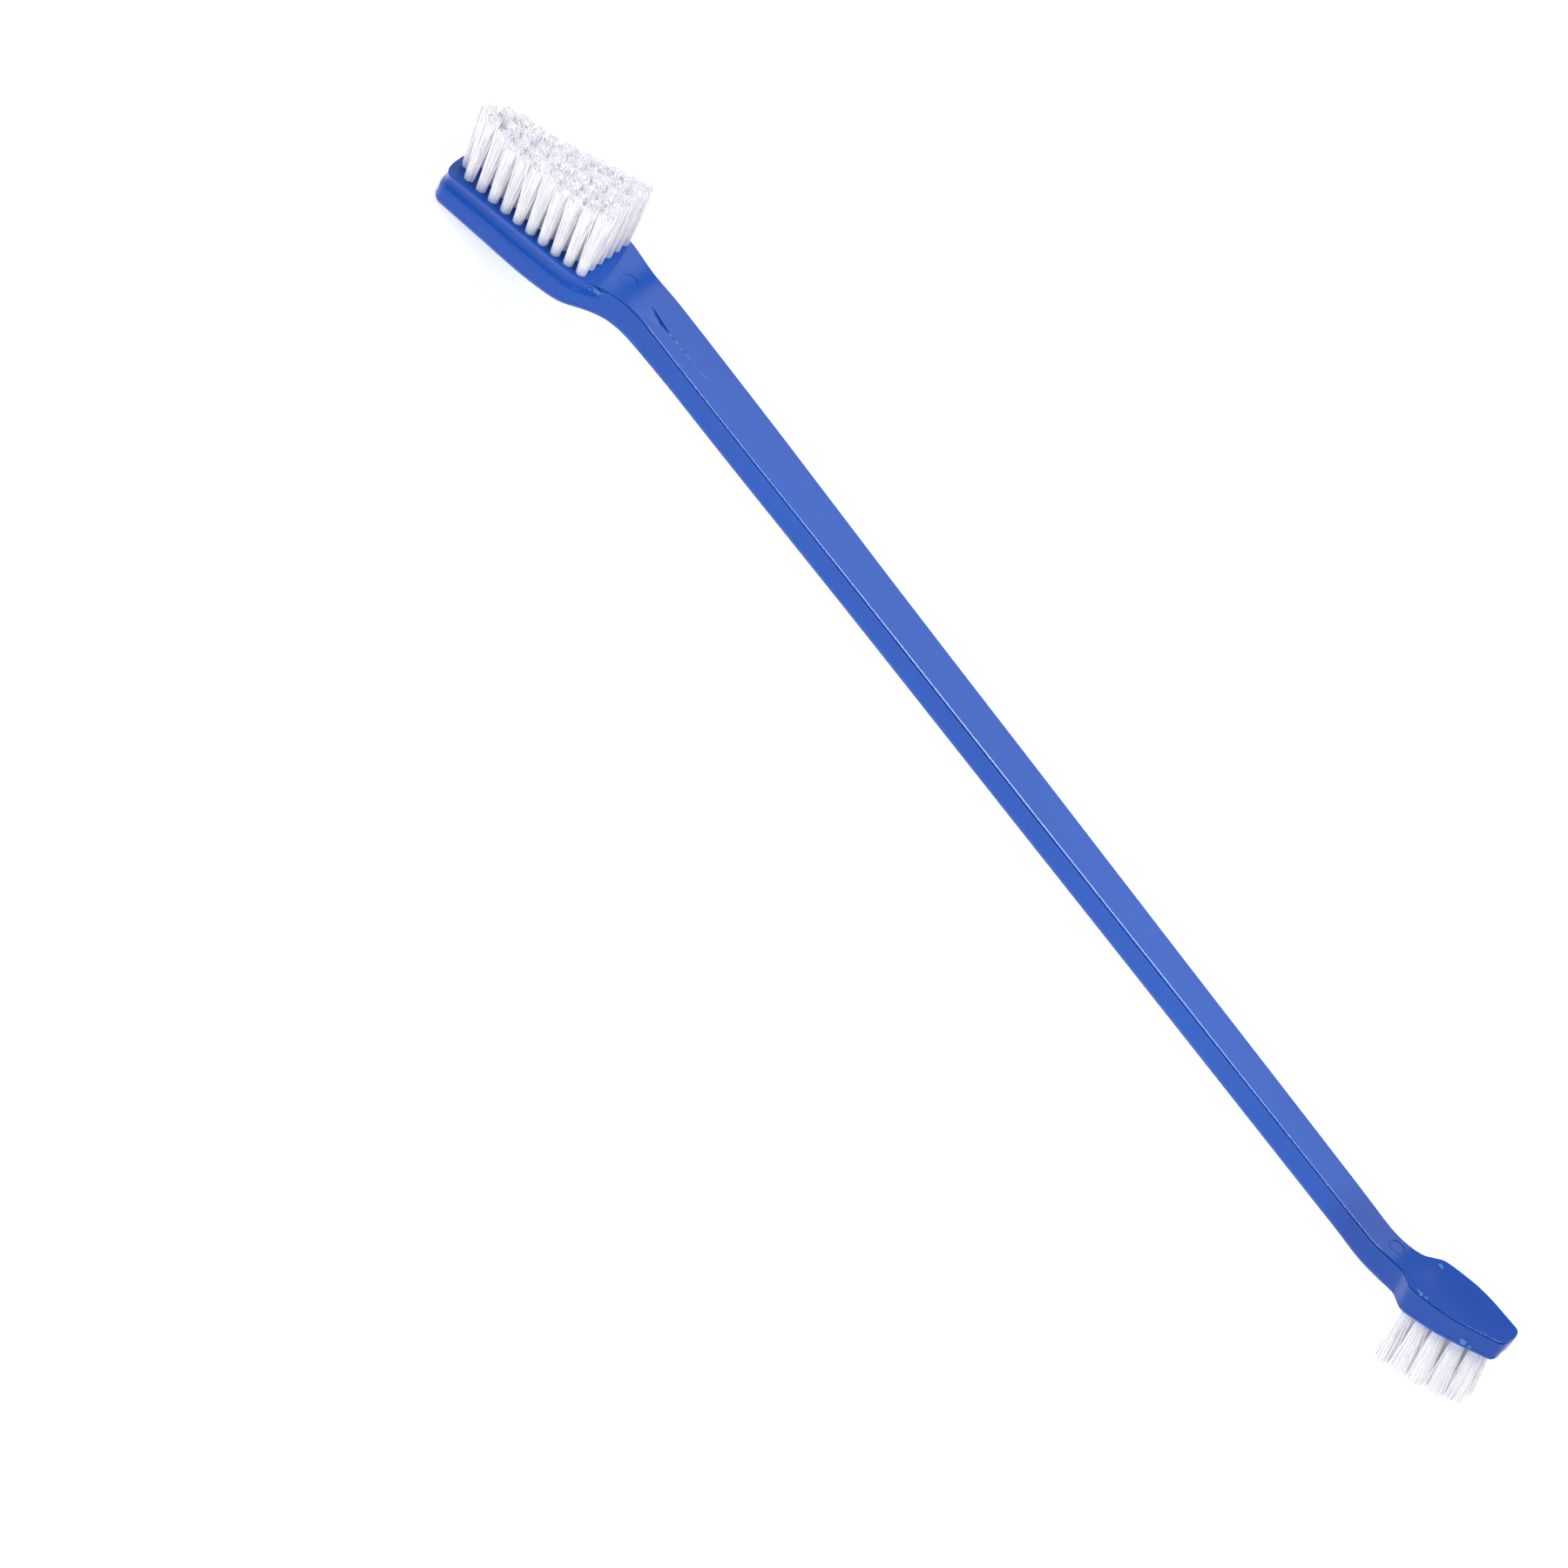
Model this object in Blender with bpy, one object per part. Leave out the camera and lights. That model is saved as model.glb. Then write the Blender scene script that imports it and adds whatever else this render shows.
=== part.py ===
"""Double-ended pet toothbrush: one moulded handle that carries a large and a small bristle head."""

import math
import random

import bmesh
import bpy
from mathutils import Matrix, Vector

MM = 0.001

# ---------------------------------------------------------------- driving dimensions (millimetres)
LARGE_TILT = math.radians(22.5)      # the large head drops away from the handle by this angle
SMALL_TILT = math.radians(18.5)      # the small head rises from the handle by this angle
LARGE_TIP_X = -116.4                 # tip of the large head, measured on the upper face
LARGE_BEND_X = -87.9                 # middle of the bend behind the large head
LARGE_BEND_RUN = 13.0
SMALL_BEND_X = 79.2                  # middle of the bend behind the small head
SMALL_BEND_RUN = 6.0
SMALL_TIP_X = 99.8                   # tip of the small head, measured on the upper face

HANDLE_DEPTH = 4.4                   # upper face to back
TOP_EDGE_RADIUS = 0.28
BACK_EDGE_RADIUS = 1.05
TIP_EDGE_RADIUS = 0.9
LARGE_FLARE = 0.45                   # the body of the large head stands proud of its tuft plate
SMALL_TIP_RAKE = 0.75                # the end of the small head slopes in towards its bristle face

# upper face to back against X, where it isn't the handle's own depth
DEPTHS = (
    (-114.5, 5.15), (-108.0, 5.55), (-101.0, 5.85), (-96.5, 5.65), (-92.0, 5.15), (-86.0, 4.95),
    (-79.0, 4.6), (-72.0, HANDLE_DEPTH), (72.0, HANDLE_DEPTH), (79.0, 4.7), (84.0, 4.75),
    (88.0, 4.45), (93.0, 4.1), (99.0, 3.85),
)

# half width of the upper face against X
HALF_WIDTH = (
    (-115.0, 4.05), (-112.0, 4.45), (-108.0, 5.0), (-103.5, 5.7), (-99.0, 6.4), (-95.6, 6.92),
    (-94.2, 7.0), (-92.8, 6.75), (-91.0, 5.95), (-89.0, 5.1), (-87.0, 4.5), (-84.5, 4.25),
    (-81.0, 4.22), (-76.0, 4.22), (-61.5, 4.12), (-48.0, 3.88), (-33.0, 3.62), (0.0, 3.32),
    (30.0, 3.0), (62.0, 2.7), (72.0, 2.58), (78.0, 2.42), (81.0, 2.42), (83.2, 2.75),
    (84.4, 3.7), (85.4, 4.5), (86.8, 4.75), (89.5, 4.75), (91.6, 4.58), (94.0, 4.05),
    (96.5, 3.25), (98.5, 2.6),
)
LARGE_TIP_RUN = 1.7                  # length over which the large tip rounds off
SMALL_TIP_RUN = 1.75

HOLE_RADIUS = 0.84
HOLE_DEPTH = 2.6
TUFT_RADIUS = 0.74                   # where the bundle leaves its hole
TUFT_FLARE = 0.94                    # at the cut ends
LARGE_BRISTLE = (10.4, 10.0, 9.8, 9.6, 9.5, 9.5, 9.6, 9.7, 9.8, 10.1)
APEX_BRISTLE = 10.7
SMALL_BRISTLE = 9.5
ROOT_DEPTH = 2.35

# across the large head: position along X of each column of tufts, its half spread and its count
LARGE_COLUMN_PITCH = 2.215
LARGE_FIRST_COLUMN = -113.25
LARGE_APEX_TUFT = -114.85
LARGE_SPREAD = (2.1, 2.65, 3.15, 3.58, 4.02, 4.35, 4.8, 5.2, 5.45, 5.6)
LARGE_COUNT = (2, 3, 4, 4, 5, 5, 5, 6, 6, 6)

# small head: one side of the outer row as (distance along the head, offset), then the middle row
SMALL_FIRST_TUFT = 86.5
SMALL_SIDE_ROW = ((0.0, 2.45), (2.6, 2.85), (5.3, 2.8), (8.1, 2.2), (10.8, 1.2))
SMALL_MIDDLE_ROW = (3.4, 6.6)

STATION_STEP = 1.1
ARC_STEPS = 4
TUFT_SIDES = 12
TUFT_RINGS = 4
HOLE_SIDES = 14


# ---------------------------------------------------------------- centre line of the handle
def ramp(x, start, run):
    """0 before start, 1 after start + run, with an even rate of change between."""
    return min(1.0, max(0.0, (x - start) / run))


def tangent(x):
    """tan of the slope of the upper face at X."""
    large = 1.0 - ramp(x, LARGE_BEND_X - LARGE_BEND_RUN / 2, LARGE_BEND_RUN)
    small = ramp(x, SMALL_BEND_X - SMALL_BEND_RUN / 2, SMALL_BEND_RUN)
    return math.tan(LARGE_TILT) * large + math.tan(SMALL_TILT) * small


def top_height(x):
    """Height of the upper face at X, with the straight part of the handle at zero."""
    large_end = LARGE_BEND_X + LARGE_BEND_RUN / 2
    small_start = SMALL_BEND_X - SMALL_BEND_RUN / 2
    if x < large_end:
        inside = min(LARGE_BEND_RUN, large_end - x)
        beyond = max(0.0, large_end - x - LARGE_BEND_RUN)
        bend = inside * inside / (2 * LARGE_BEND_RUN)
        return -math.tan(LARGE_TILT) * (bend + beyond)
    if x > small_start:
        inside = min(SMALL_BEND_RUN, x - small_start)
        beyond = max(0.0, x - small_start - SMALL_BEND_RUN)
        bend = inside * inside / (2 * SMALL_BEND_RUN)
        return math.tan(SMALL_TILT) * (bend + beyond)
    return 0.0


def frame_at(x):
    """Point on the upper face, direction along it and the direction out of it, all at X."""
    slope = math.atan(tangent(x))
    along = Vector((math.cos(slope), 0.0, math.sin(slope)))
    out = Vector((-math.sin(slope), 0.0, math.cos(slope)))
    return Vector((x, 0.0, top_height(x))), along, out


def smooth_between(value, low, high):
    t = min(1.0, max(0.0, (value - low) / (high - low)))
    return t * t * (3 - 2 * t)


def through(points, x):
    """Value at X of a smooth curve through the points, level beyond the last ones."""
    if x <= points[0][0]:
        return points[0][1]
    if x >= points[-1][0]:
        return points[-1][1]
    slopes = []
    for i in range(len(points)):
        a = points[max(0, i - 1)]
        b = points[min(len(points) - 1, i + 1)]
        slopes.append((b[1] - a[1]) / (b[0] - a[0]))
    for i in range(len(points) - 1):
        (x0, y0), (x1, y1) = points[i], points[i + 1]
        if x0 <= x <= x1:
            run = x1 - x0
            t = (x - x0) / run
            return (
                (2 * t**3 - 3 * t**2 + 1) * y0
                + (t**3 - 2 * t**2 + t) * run * slopes[i]
                + (-2 * t**3 + 3 * t**2) * y1
                + (t**3 - t**2) * run * slopes[i + 1]
            )
    return points[-1][1]


def half_width(x):
    return through(HALF_WIDTH, x)


def depth(x):
    return through(DEPTHS, x)


def flare(x):
    return LARGE_FLARE * (1 - smooth_between(x, -97.0, -84.0))


def tip_rounding(x):
    """(share of the width left, rise of the edges) within the rounded end of a head."""
    if x < LARGE_TIP_X + LARGE_TIP_RUN:
        inward = (LARGE_TIP_X + LARGE_TIP_RUN - x) / LARGE_TIP_RUN
    elif x > SMALL_TIP_X - SMALL_TIP_RUN:
        inward = (x - SMALL_TIP_X + SMALL_TIP_RUN) / SMALL_TIP_RUN
    else:
        return 1.0, 0.0
    inward = min(1.0, inward)
    width = (1 - inward**2.6) ** (1 / 2.6)
    edge = max(0.0, inward - 0.35) / 0.65
    return width, 1 - math.sqrt(max(0.0, 1 - edge * edge))


# ---------------------------------------------------------------- the moulded handle
def section(x):
    """Closed ring of points (offset across, height above the upper face), going round once."""
    share, rise = tip_rounding(x)
    w = half_width(x) * share
    d = depth(x)
    f = flare(x) * min(1.0, share * 1.4)
    r_top = min(TOP_EDGE_RADIUS, w * 0.3)
    r_back = BACK_EDGE_RADIUS - 0.3 * smooth_between(x, 80.0, 86.0)
    r_back = min(r_back, (w + f) * 0.45)
    top = -rise * 0.35
    back = -d + rise * TIP_EDGE_RADIUS
    side = []
    for i in range(ARC_STEPS):
        a = math.pi / 2 * i / (ARC_STEPS - 1)
        side.append((w - r_top + r_top * math.sin(a), top - r_top + r_top * math.cos(a)))
    side.append((w + 0.62 * f, top - r_top - 0.22 * (d - 2.0)))
    side.append((w + f, top - r_top - 0.5 * (d - 2.0)))
    for i in range(ARC_STEPS + 1):
        a = math.pi / 2 * i / ARC_STEPS
        side.append((w + f - r_back + r_back * math.cos(a), back + r_back - r_back * math.sin(a)))
    ring = [(0.0, top)] + side + [(0.0, back)]
    ring += [(-y, z) for y, z in reversed(side)]
    return ring


def stations():
    """X of every section: close together where the outline turns quickly."""
    found = []
    steps = 9
    for i in range(steps):
        a = math.pi / 2 * (i + 0.6) / steps
        found.append(LARGE_TIP_X + LARGE_TIP_RUN * (1 - math.sin(a)))
    found.reverse()
    start = LARGE_TIP_X + LARGE_TIP_RUN
    spans = (
        (start, -97.0, 1.9), (-97.0, -80.0, 0.75), (-80.0, 74.0, 5.5),
        (74.0, 82.0, 0.8), (82.0, SMALL_TIP_X - SMALL_TIP_RUN, 0.62),
    )
    for low, high, step in spans:
        count = max(1, round((high - low) / step))
        found += [low + (high - low) * i / count for i in range(count)]
    start = SMALL_TIP_X - SMALL_TIP_RUN
    found.append(start)
    for i in range(1, steps + 1):
        a = math.pi / 2 * (i - 0.4) / steps
        found.append(start + SMALL_TIP_RUN * math.sin(a))
    return sorted(set(round(v, 4) for v in found))


def end_shift(x, z):
    """How far a point of the rounded end lies from its own section, along the handle."""
    share, _ = tip_rounding(x)
    if share == 1.0:
        return 0.0
    inward = 1 - share
    if x < 0:
        return -LARGE_FLARE * inward * smooth_between(-z, 0.3, 2.0)
    return -SMALL_TIP_RAKE * inward * smooth_between(-z, 1.0, 4.0)


def handle_mesh():
    mesh = bmesh.new()
    rings = []
    for x in stations():
        point, along, out = frame_at(x)
        ring = []
        for y, z in section(x):
            where = point + Vector((0.0, y, 0.0)) + out * z + along * end_shift(x, z)
            ring.append(mesh.verts.new(where * MM))
        rings.append(ring)
    count = len(rings[0])
    for first, second in zip(rings, rings[1:]):
        for i in range(count):
            j = (i + 1) % count
            mesh.faces.new((first[i], first[j], second[j], second[i]))
    mesh.faces.new(list(reversed(rings[0])))
    mesh.faces.new(rings[-1])
    bmesh.ops.recalc_face_normals(mesh, faces=mesh.faces)
    data = bpy.data.meshes.new("handle")
    mesh.to_mesh(data)
    mesh.free()
    for face in data.polygons:
        face.use_smooth = True
    return data


# ---------------------------------------------------------------- where the tufts stand
def large_sites():
    """(X, offset, bristle length) of every tuft of the large head, on its upper face."""
    sites = [(LARGE_APEX_TUFT, 0.0, APEX_BRISTLE)]
    for i, (spread, count) in enumerate(zip(LARGE_SPREAD, LARGE_COUNT)):
        x = LARGE_FIRST_COLUMN + LARGE_COLUMN_PITCH * i
        for k in range(count):
            sites.append((x, -spread + 2 * spread * k / (count - 1), LARGE_BRISTLE[i]))
    return sites


def small_sites():
    """(X, offset, bristle length) of every tuft of the small head, on the handle's back."""
    run = math.cos(SMALL_TILT)
    places = [(s, side * y) for s, y in SMALL_SIDE_ROW for side in (-1, 1)]
    places += [(s, 0.0) for s in SMALL_MIDDLE_ROW]
    return [(SMALL_FIRST_TUFT + s * run, y, SMALL_BRISTLE) for s, y in places]


def site_matrix(x, y, below):
    """Placement whose +Z leaves the head along the bristles, with its origin on the bristle face."""
    point, along, out = frame_at(x)
    across = Vector((0.0, 1.0, 0.0))
    if below:
        point = point - out * depth(x)
        across = -across
        out = -out
    point = point + Vector((0.0, y, 0.0))
    turn = Matrix((along, across, out)).transposed().to_4x4()
    return Matrix.Translation(point * MM) @ turn


# ---------------------------------------------------------------- tufts and their holes
def tuft_mesh(name, length, rng):
    """A folded bundle of filaments: fluted, slightly wider at its free end and unevenly cut."""
    mesh = bmesh.new()
    rings = []
    heights = (-ROOT_DEPTH, 0.0, length * 0.5, length)
    radii = (TUFT_RADIUS, TUFT_RADIUS, TUFT_RADIUS + 0.06, TUFT_FLARE)
    lean = [rng.uniform(-0.02, 0.02) for _ in range(2)]
    for level, (height, radius) in enumerate(zip(heights, radii)):
        ring = []
        for i in range(TUFT_SIDES):
            a = 2 * math.pi * i / TUFT_SIDES
            flute = 1.0 if i % 2 == 0 else 0.93
            z = height
            if level == TUFT_RINGS - 1:
                z += rng.uniform(-0.35, 0.0)
            shift = max(0.0, height) / length
            where = Vector((
                radius * flute * math.cos(a) + lean[0] * shift,
                radius * flute * math.sin(a) + lean[1] * shift,
                z,
            ))
            ring.append(mesh.verts.new(where * MM))
        rings.append(ring)
    for first, second in zip(rings, rings[1:]):
        for i in range(TUFT_SIDES):
            j = (i + 1) % TUFT_SIDES
            mesh.faces.new((first[i], first[j], second[j], second[i]))
    mesh.faces.new(list(reversed(rings[0])))
    crown = mesh.verts.new(Vector((lean[0], lean[1], length + 0.12)) * MM)
    for i in range(TUFT_SIDES):
        mesh.faces.new((rings[-1][i], rings[-1][(i + 1) % TUFT_SIDES], crown))
    bmesh.ops.recalc_face_normals(mesh, faces=mesh.faces)
    data = bpy.data.meshes.new(name)
    mesh.to_mesh(data)
    mesh.free()
    for face in data.polygons:
        face.use_smooth = True
    return data


def add_tufts(parts, holders, prefix, sites, below, finish):
    """One tuft object and one blind hole for it at every site."""
    for number, (x, y, length) in enumerate(sites, 1):
        rng = random.Random(1000 * below + number)
        name = f"{prefix}_tuft_{number:02d}"
        placed = site_matrix(x, y, below)
        tuft = bpy.data.objects.new(name, tuft_mesh(name, length + rng.uniform(-0.2, 0.2), rng))
        tuft.matrix_world = placed @ Matrix.Rotation(rng.uniform(0, math.pi), 4, "Z")
        tuft.data.materials.append(finish)
        parts.objects.link(tuft)
        bpy.ops.mesh.primitive_cylinder_add(
            vertices=HOLE_SIDES, radius=HOLE_RADIUS * MM, depth=(HOLE_DEPTH + 2.0) * MM
        )
        cutter = bpy.context.active_object
        cutter.name = f"{prefix}_hole_{number:02d}"
        offset = Matrix.Translation(Vector((0.0, 0.0, (2.0 - HOLE_DEPTH) / 2 * MM)))
        cutter.matrix_world = placed @ offset
        cutter.hide_render = True
        cutter.display_type = "WIRE"
        for owner in list(cutter.users_collection):
            owner.objects.unlink(cutter)
        holders.objects.link(cutter)


# ---------------------------------------------------------------- materials
def material(name, colour, roughness, transmission=0.0, subsurface=0.0, ior=1.5):
    made = bpy.data.materials.new(name)
    made.use_nodes = True
    shader = made.node_tree.nodes["Principled BSDF"]
    shader.inputs["Base Color"].default_value = (*colour, 1.0)
    shader.inputs["Roughness"].default_value = roughness
    shader.inputs["Transmission Weight"].default_value = transmission
    shader.inputs["Subsurface Weight"].default_value = subsurface
    shader.inputs["IOR"].default_value = ior
    made.diffuse_color = (*colour, 1.0)
    return made


# ---------------------------------------------------------------- assembly
def clear_scene():
    for thing in list(bpy.data.objects):
        bpy.data.objects.remove(thing, do_unlink=True)


def bounds_of(objects):
    graph = bpy.context.evaluated_depsgraph_get()
    low = [math.inf] * 3
    high = [-math.inf] * 3
    for thing in objects:
        evaluated = thing.evaluated_get(graph)
        shape = evaluated.to_mesh()
        for vertex in shape.vertices:
            where = evaluated.matrix_world @ vertex.co
            for axis in range(3):
                low[axis] = min(low[axis], where[axis])
                high[axis] = max(high[axis], where[axis])
        evaluated.to_mesh_clear()
    return low, high


def main():
    clear_scene()
    parts = bpy.data.collections.new("pet_toothbrush")
    holders = bpy.data.collections.new("hole_cutters")
    bpy.context.scene.collection.children.link(parts)
    bpy.context.scene.collection.children.link(holders)
    holders.hide_render = True

    handle_finish = material("handle_blue_polypropylene", (0.035, 0.11, 0.45), 0.32)
    large_finish = material("large_bristle_nylon", (0.80, 0.80, 0.84), 0.45, subsurface=0.2)
    small_finish = material("small_bristle_nylon", (0.82, 0.82, 0.85), 0.45, subsurface=0.2)

    handle = bpy.data.objects.new("handle", handle_mesh())
    handle.data.materials.append(handle_finish)
    parts.objects.link(handle)

    add_tufts(parts, holders, "large", large_sites(), False, large_finish)
    add_tufts(parts, holders, "small", small_sites(), True, small_finish)

    cut = handle.modifiers.new("tuft_holes", "BOOLEAN")
    cut.operation = "DIFFERENCE"
    cut.solver = "EXACT"
    cut.operand_type = "COLLECTION"
    cut.collection = holders

    bpy.context.view_layer.update()
    low, high = bounds_of(parts.objects)
    shift = Vector((-(low[0] + high[0]) / 2, -(low[1] + high[1]) / 2, -low[2]))
    for thing in list(parts.objects) + list(holders.objects):
        thing.matrix_world = Matrix.Translation(shift) @ thing.matrix_world
    bpy.context.view_layer.update()
    size = [round((b - a) / MM, 3) for a, b in zip(low, high)]
    print("moved by", [round(v / MM, 4) for v in shift], "overall size", size)


main()
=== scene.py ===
"""Looks of the double-ended pet toothbrush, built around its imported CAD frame."""

from __future__ import annotations

import logging
import math
import random
from dataclasses import dataclass, field
from enum import Enum

import bmesh
import bpy
import numpy as np
from mathutils import Matrix, Vector, noise


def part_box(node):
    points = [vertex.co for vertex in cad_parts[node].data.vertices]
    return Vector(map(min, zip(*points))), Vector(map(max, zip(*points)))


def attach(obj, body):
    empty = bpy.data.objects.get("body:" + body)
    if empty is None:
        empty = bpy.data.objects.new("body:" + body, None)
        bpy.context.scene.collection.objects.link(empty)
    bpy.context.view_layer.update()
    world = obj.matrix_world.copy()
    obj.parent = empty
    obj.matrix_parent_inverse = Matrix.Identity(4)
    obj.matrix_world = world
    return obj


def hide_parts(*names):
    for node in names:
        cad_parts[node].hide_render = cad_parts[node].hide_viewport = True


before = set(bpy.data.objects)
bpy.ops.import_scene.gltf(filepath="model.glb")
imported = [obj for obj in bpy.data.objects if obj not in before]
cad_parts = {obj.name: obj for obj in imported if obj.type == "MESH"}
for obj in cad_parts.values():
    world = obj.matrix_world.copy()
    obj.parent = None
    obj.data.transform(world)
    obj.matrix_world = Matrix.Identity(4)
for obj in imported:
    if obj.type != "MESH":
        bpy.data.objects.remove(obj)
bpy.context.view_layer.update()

LOG = logging.getLogger("pet_toothbrush")
Socket = bpy.types.NodeSocket
Colour = tuple[float, float, float]
Span = tuple[float, float]
Curve = tuple[Span, ...]
MM = 0.001
HOLE_CLEAR = 3.0
BODY = "root"


class Head(Enum):
    """The two ends of the brush, by the prefix of their tuft nodes."""

    LARGE = "large"
    SMALL = "small"


# --------------------------------------------------------------------------- finishes
@dataclass(frozen=True)
class Polypropylene:
    """Blue moulded polypropylene: slightly translucent, with a satin gloss.

    Attributes:
        deep: Linear colour of the body.
        pale: Linear colour where the melt came out paler.
        gloss: Roughness range across the surface.
        broad: Factor on the colour in the large head.
        thick: Factor that darkens the colour in the small head; no wall thickness enters it.
    """

    deep: Colour = (0.003, 0.059, 0.34)
    pale: Colour = (0.007, 0.074, 0.39)
    gloss: Span = (0.15, 0.23)
    broad: Colour = (0.9, 0.93, 0.97)
    thick: Colour = (0.5, 0.74, 0.82)

    def build(self, name: str) -> bpy.types.Material:
        """Makes the material.

        Args:
            name: Name of the material.

        Returns:
            The finished material.
        """
        graph = NodeGraph(name)
        shader = graph.shader
        graph.constants({
            "IOR": 1.47,
            "Specular IOR Level": 0.27,
            "Subsurface Weight": 0.18,
            "Subsurface Radius": (0.25, 0.45, 1.0),
            "Subsurface Scale": 0.0022,
        })
        flow = graph.noise(scale=38.0, detail=3.0, stretch=(0.25, 1.0, 1.0))
        body = graph.ramp_colour(flow, self.deep, self.pale)
        for end, run, tint in ((-0.104, 0.016, self.broad), (0.083, -0.007, self.thick)):
            ahead = Vector((math.copysign(1.0, run), 0.0, 0.0))
            body = graph.fade(Vector((end, 0.0, 0.0)), ahead, (0.0, abs(run)), tint, body)
        graph.colour(body)
        graph.ramp_value(flow, self.gloss, shader.inputs["Roughness"])
        grain = graph.noise(scale=2600.0, detail=2.0)
        drag = graph.noise(scale=150.0, detail=2.0, stretch=(0.12, 1.0, 1.0))
        fine = graph.bump(grain, distance=0.000006, strength=0.35)
        graph.bump(drag, distance=0.00006, strength=0.3, below=fine, into=shader)
        return graph.material


@dataclass(frozen=True)
class Nylon:
    """Clear-white nylon monofilament.

    Attributes:
        root: Factor on the colour at the holes: painted blue bounce light from the head and painted
            shade near the plate.
        dull: Linear colour of the cloudier filaments.
        tip: Linear colour of the clearest ones.
        painted_bounce_and_shade_span: Heights above the holes between which the painted blue light
            and painted shade fade out, in metres.
        painted_glow: Painted glow of the nylon, light it gives off to lift the shade in its gaps.
        clear: Share of the light that goes through a filament.
    """

    root: Colour = (0.67, 0.75, 0.93)
    dull: Colour = (0.87, 0.86, 0.92)
    tip: Colour = (0.93, 0.92, 0.965)
    painted_bounce_and_shade_span: Span = (0.0001, 0.0021)
    clear: float = 0.12
    painted_glow: float = 0.045

    def build(self, name: str, mouth: Vector, out: Vector) -> bpy.types.Material:
        """Makes the material.

        Args:
            name: Name of the material.
            mouth: A point on the face that the tufts leave.
            out: Direction in which they leave it.

        Returns:
            The finished material.
        """
        graph = NodeGraph(name)
        shader = graph.shader
        graph.constants({
            "IOR": 1.53,
            "Transmission Weight": self.clear,
            # Painted glow: the nylon gives off a little light that lifts the shade between its
            # filaments.
            "Emission Color": (0.93, 0.93, 1.0, 1.0),
            "Emission Strength": self.painted_glow,
            "Subsurface Weight": 0.5,
            "Subsurface Radius": (1.0, 1.0, 1.0),
            "Subsurface Scale": 0.0004,
        })
        cloud = graph.noise(scale=420.0, detail=2.0)
        free = graph.ramp_colour(cloud, self.dull, self.tip)
        # Blue-grey towards the holes: painted bounce light from the blue head and painted shade
        # near the plate.
        graph.colour(graph.fade(mouth, out, self.painted_bounce_and_shade_span, self.root, free))
        graph.ramp_value(cloud, (0.30, 0.46), shader.inputs["Roughness"])
        lines = graph.noise(scale=5200.0, detail=1.0)
        graph.bump(lines, distance=0.000004, strength=0.3, into=shader)
        return graph.material


@dataclass(frozen=True)
class LightTable:
    """Plain pale acrylic table top, softly lit from below.

    Attributes:
        colour: Linear colour of the acrylic.
        glow: Light that comes up through it.
    """

    colour: Colour = (0.93, 0.93, 0.935)
    glow: float = 0.62

    def build(self, name: str) -> bpy.types.Material:
        """Makes the material.

        Args:
            name: Name of the material.

        Returns:
            The finished material.
        """
        graph = NodeGraph(name)
        graph.constants({
            "Roughness": 0.85,
            "Specular IOR Level": 0.15,
            "Emission Color": (1.0, 1.0, 1.0, 1.0),
            "Emission Strength": self.glow,
        })
        cloud = graph.noise(scale=900.0, detail=3.0)
        near = tuple(c * 0.99 for c in self.colour)
        graph.colour(graph.ramp_colour(cloud, near, self.colour))
        return graph.material


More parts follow.
